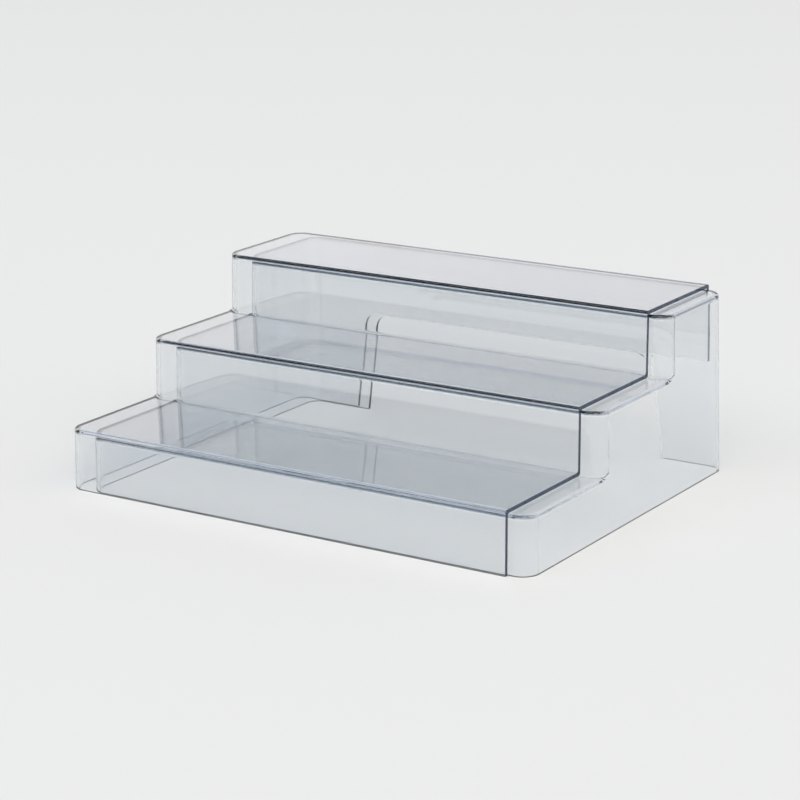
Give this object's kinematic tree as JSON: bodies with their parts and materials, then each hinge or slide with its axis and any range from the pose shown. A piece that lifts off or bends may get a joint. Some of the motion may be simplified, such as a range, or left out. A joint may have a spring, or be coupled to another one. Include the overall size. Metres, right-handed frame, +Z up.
{
  "type": "expandable shelf riser",
  "caption": "Clear stepped riser for jars and cans: nested shells telescope lengthways, with flat treads, rounded closed ends and a cut-out rear wall.",
  "frame": {"origin": "on the table, under the middle of the closed riser's bounding box", "axes": "+X along the treads from the closed end of the outer shell to the closed end of the inner shell, the way the riser extends; +Y from the lowest step to the rear wall; +Z up"},
  "size_m": [0.2892, 0.2174, 0.1026],
  "materials": {
    "clear_plastic": "clear, polished, faint blue-grey tint"
  },
  "bodies": {
    "outer": {"outer_shell": "clear_plastic"},
    "inner": {"inner_shell": "clear_plastic"}
  },
  "joints": [
    {"name": "extend_slide", "type": "slide", "parent": "outer", "child": "inner", "axis": [1, 0, 0], "range_m": [-0.01, 0.2]}
  ]
}
